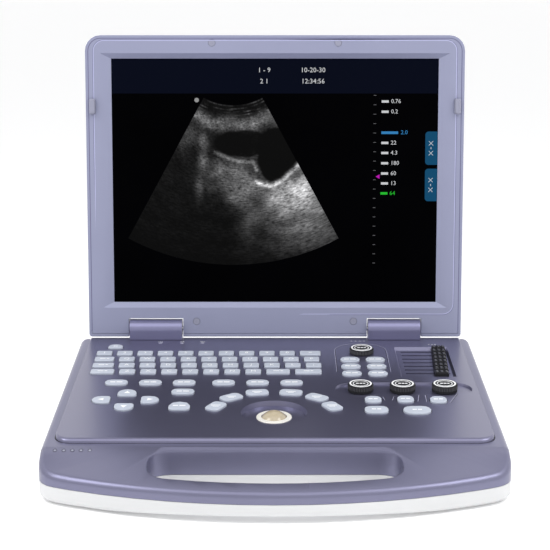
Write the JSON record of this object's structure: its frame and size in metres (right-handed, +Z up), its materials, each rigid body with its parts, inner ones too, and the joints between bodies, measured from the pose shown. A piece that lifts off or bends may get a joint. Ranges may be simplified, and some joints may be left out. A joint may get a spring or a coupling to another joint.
{
  "type": "laptop ultrasound scanner",
  "caption": "Laptop-style diagnostic ultrasound scanner: wedge base with carrying handle, keyboard, knobs, sliders and trackball, and a hinged display lid.",
  "frame": {"origin": "on the surface it stands on, under the middle of the box round the whole scanner", "axes": "+X to the user's right, -Y towards the user (carrying handle), +Z up"},
  "size_m": [0.3696, 0.372, 0.3422],
  "materials": {
    "shell": "satin violet-grey moulded ABS",
    "white_shell": "satin off-white moulded ABS",
    "deck": "dark violet-grey, satin painted",
    "silicone": "pale blue-grey silicone, matte",
    "hinge_plastic": "dark violet, satin",
    "rubber": "matte black",
    "circuit_board": "green solder mask",
    "black_plastic": "matte black",
    "grey_plastic": "matte grey",
    "ivory_ring": "ivory, semi-gloss",
    "trackball": "cream, polished",
    "lid_shell": "light violet-grey, satin painted",
    "screen": "dark display face",
    "steel": "plated",
    "black_controls": "fine-textured black",
    "key_caps": "pale blue-grey, matte"
  },
  "bodies": {
    "base": {"bottom_case": "white_shell", "top_frame": "shell", "control_panel": "deck", "keypad_mat": "silicone", "hinge_cover_left": "hinge_plastic", "hinge_cover_right": "hinge_plastic", "foot_1": "rubber", "foot_2": "rubber", "foot_3": "rubber", "foot_4": "rubber", "main_board": "circuit_board", "battery_pack": "black_plastic", "fan_housing": "black_plastic", "probe_socket_1": "grey_plastic", "probe_socket_2": "grey_plastic", "trackball_housing": "black_plastic", "trackball_ring": "ivory_ring", "io_panel": "black_plastic", "panel_board": "circuit_board"},
    "lid": {"lid_back_cover": "lid_shell", "lid_bezel": "lid_shell", "lcd_panel": "screen", "screw_cap_1": "grey_plastic", "screw_cap_2": "grey_plastic", "screw_cap_3": "grey_plastic", "screw_cap_4": "grey_plastic", "bumper_left": "grey_plastic", "bumper_right": "grey_plastic", "hinge_arm_left": "steel", "hinge_arm_right": "steel"},
    "tgc_slider_1": {"tgc_slider_1": "black_controls"},
    "tgc_slider_2": {"tgc_slider_2": "black_controls"},
    "tgc_slider_3": {"tgc_slider_3": "black_controls"},
    "tgc_slider_4": {"tgc_slider_4": "black_controls"},
    "tgc_slider_5": {"tgc_slider_5": "black_controls"},
    "tgc_slider_6": {"tgc_slider_6": "black_controls"},
    "tgc_slider_7": {"tgc_slider_7": "black_controls"},
    "tgc_slider_8": {"tgc_slider_8": "black_controls"},
    "knob_menu": {"knob_menu": "black_controls"},
    "knob_1": {"knob_1": "black_controls"},
    "knob_2": {"knob_2": "black_controls"},
    "knob_3": {"knob_3": "black_controls"},
    "trackball": {"trackball": "trackball"},
    "fan_rotor": {"fan_rotor": "black_plastic"},
    "power_button": {"power_button": "key_caps"},
    "arrow_up": {"arrow_up": "key_caps"},
    "arrow_down": {"arrow_down": "key_caps"},
    "arrow_left": {"arrow_left": "key_caps"},
    "arrow_right": {"arrow_right": "key_caps"},
    "arc_key_1": {"arc_key_1": "key_caps"},
    "arc_key_2": {"arc_key_2": "key_caps"},
    "arc_key_3": {"arc_key_3": "key_caps"},
    "arc_key_4": {"arc_key_4": "key_caps"},
    "arc_key_5": {"arc_key_5": "key_caps"},
    "arc_key_6": {"arc_key_6": "key_caps"},
    "aux_key_1": {"aux_key_1": "key_caps"},
    "aux_key_2": {"aux_key_2": "key_caps"},
    "aux_key_3": {"aux_key_3": "key_caps"},
    "aux_key_4": {"aux_key_4": "key_caps"},
    "aux_key_5": {"aux_key_5": "key_caps"}
  },
  "joints": [
    {"name": "lid_hinge", "type": "hinge", "parent": "base", "child": "lid", "pos_m": [0, 0.14962, 0.06778], "axis": [-1, 0, 0], "range_deg": [-98.33, 31.5]},
    {"name": "tgc_slider_1_slide", "type": "slide", "parent": "base", "child": "tgc_slider_1", "axis": [1, 0, 0], "range_m": [-0.03095, 0]},
    {"name": "tgc_slider_2_slide", "type": "slide", "parent": "base", "child": "tgc_slider_2", "axis": [1, 0, 0], "range_m": [-0.0304, 0.00055]},
    {"name": "tgc_slider_3_slide", "type": "slide", "parent": "base", "child": "tgc_slider_3", "axis": [1, 0, 0], "range_m": [-0.02985, 0.0011]},
    {"name": "tgc_slider_4_slide", "type": "slide", "parent": "base", "child": "tgc_slider_4", "axis": [1, 0, 0], "range_m": [-0.0293, 0.00165]},
    {"name": "tgc_slider_5_slide", "type": "slide", "parent": "base", "child": "tgc_slider_5", "axis": [1, 0, 0], "range_m": [-0.02875, 0.0022]},
    {"name": "tgc_slider_6_slide", "type": "slide", "parent": "base", "child": "tgc_slider_6", "axis": [1, 0, 0], "range_m": [-0.0282, 0.00275]},
    {"name": "tgc_slider_7_slide", "type": "slide", "parent": "base", "child": "tgc_slider_7", "axis": [1, 0, 0], "range_m": [-0.02765, 0.0033]},
    {"name": "tgc_slider_8_slide", "type": "slide", "parent": "base", "child": "tgc_slider_8", "axis": [1, 0, 0], "range_m": [-0.0271, 0.00385]},
    {"name": "knob_menu_turn", "type": "hinge", "parent": "base", "child": "knob_menu", "pos_m": [0.07975, 0.10425, 0.05578], "axis": [0, -0.0698, 0.9976], "continuous": true},
    {"name": "knob_1_turn", "type": "hinge", "parent": "base", "child": "knob_1", "pos_m": [0.07365, 0.00799, 0.04905], "axis": [0, -0.0698, 0.9976], "continuous": true},
    {"name": "knob_2_turn", "type": "hinge", "parent": "base", "child": "knob_2", "pos_m": [0.10985, 0.00799, 0.04905], "axis": [0, -0.0698, 0.9976], "continuous": true},
    {"name": "knob_3_turn", "type": "hinge", "parent": "base", "child": "knob_3", "pos_m": [0.14605, 0.00799, 0.04905], "axis": [0, -0.0698, 0.9976], "continuous": true},
    {"name": "trackball_roll", "type": "hinge", "parent": "base", "child": "trackball", "pos_m": [-0.0008, -0.0475, 0.03405], "axis": [1, 0, 0], "continuous": true},
    {"name": "fan_spin", "type": "hinge", "parent": "base", "child": "fan_rotor", "pos_m": [0.11, 0.15174, 0.025], "axis": [0, 1, 0], "continuous": true},
    {"name": "power_button_press", "type": "slide", "parent": "base", "child": "power_button", "axis": [0, -0.0698, 0.9976], "range_m": [-0.0015, 0], "stiffness_N_per_m": 400},
    {"name": "arrow_up_press", "type": "slide", "parent": "base", "child": "arrow_up", "axis": [0, -0.0698, 0.9976], "range_m": [-0.0015, 0], "stiffness_N_per_m": 400},
    {"name": "arrow_down_press", "type": "slide", "parent": "base", "child": "arrow_down", "axis": [0, -0.0698, 0.9976], "range_m": [-0.0015, 0], "stiffness_N_per_m": 400},
    {"name": "arrow_left_press", "type": "slide", "parent": "base", "child": "arrow_left", "axis": [0, -0.0698, 0.9976], "range_m": [-0.0015, 0], "stiffness_N_per_m": 400},
    {"name": "arrow_right_press", "type": "slide", "parent": "base", "child": "arrow_right", "axis": [0, -0.0698, 0.9976], "range_m": [-0.0015, 0], "stiffness_N_per_m": 400},
    {"name": "arc_key_1_press", "type": "slide", "parent": "base", "child": "arc_key_1", "axis": [0, -0.0698, 0.9976], "range_m": [-0.0015, 0], "stiffness_N_per_m": 400},
    {"name": "arc_key_2_press", "type": "slide", "parent": "base", "child": "arc_key_2", "axis": [0, -0.0698, 0.9976], "range_m": [-0.0015, 0], "stiffness_N_per_m": 400},
    {"name": "arc_key_3_press", "type": "slide", "parent": "base", "child": "arc_key_3", "axis": [0, -0.0698, 0.9976], "range_m": [-0.0015, 0], "stiffness_N_per_m": 400},
    {"name": "arc_key_4_press", "type": "slide", "parent": "base", "child": "arc_key_4", "axis": [0, -0.0698, 0.9976], "range_m": [-0.0015, 0], "stiffness_N_per_m": 400},
    {"name": "arc_key_5_press", "type": "slide", "parent": "base", "child": "arc_key_5", "axis": [0, -0.0698, 0.9976], "range_m": [-0.0015, 0], "stiffness_N_per_m": 400},
    {"name": "arc_key_6_press", "type": "slide", "parent": "base", "child": "arc_key_6", "axis": [0, -0.0698, 0.9976], "range_m": [-0.0015, 0], "stiffness_N_per_m": 400},
    {"name": "aux_key_1_press", "type": "slide", "parent": "base", "child": "aux_key_1", "axis": [0, -0.0698, 0.9976], "range_m": [-0.0015, 0], "stiffness_N_per_m": 400},
    {"name": "aux_key_2_press", "type": "slide", "parent": "base", "child": "aux_key_2", "axis": [0, -0.0698, 0.9976], "range_m": [-0.0015, 0], "stiffness_N_per_m": 400},
    {"name": "aux_key_3_press", "type": "slide", "parent": "base", "child": "aux_key_3", "axis": [0, -0.0698, 0.9976], "range_m": [-0.0015, 0], "stiffness_N_per_m": 400},
    {"name": "aux_key_4_press", "type": "slide", "parent": "base", "child": "aux_key_4", "axis": [0, -0.0698, 0.9976], "range_m": [-0.0015, 0], "stiffness_N_per_m": 400},
    {"name": "aux_key_5_press", "type": "slide", "parent": "base", "child": "aux_key_5", "axis": [0, -0.0698, 0.9976], "range_m": [-0.0015, 0], "stiffness_N_per_m": 400}
  ]
}
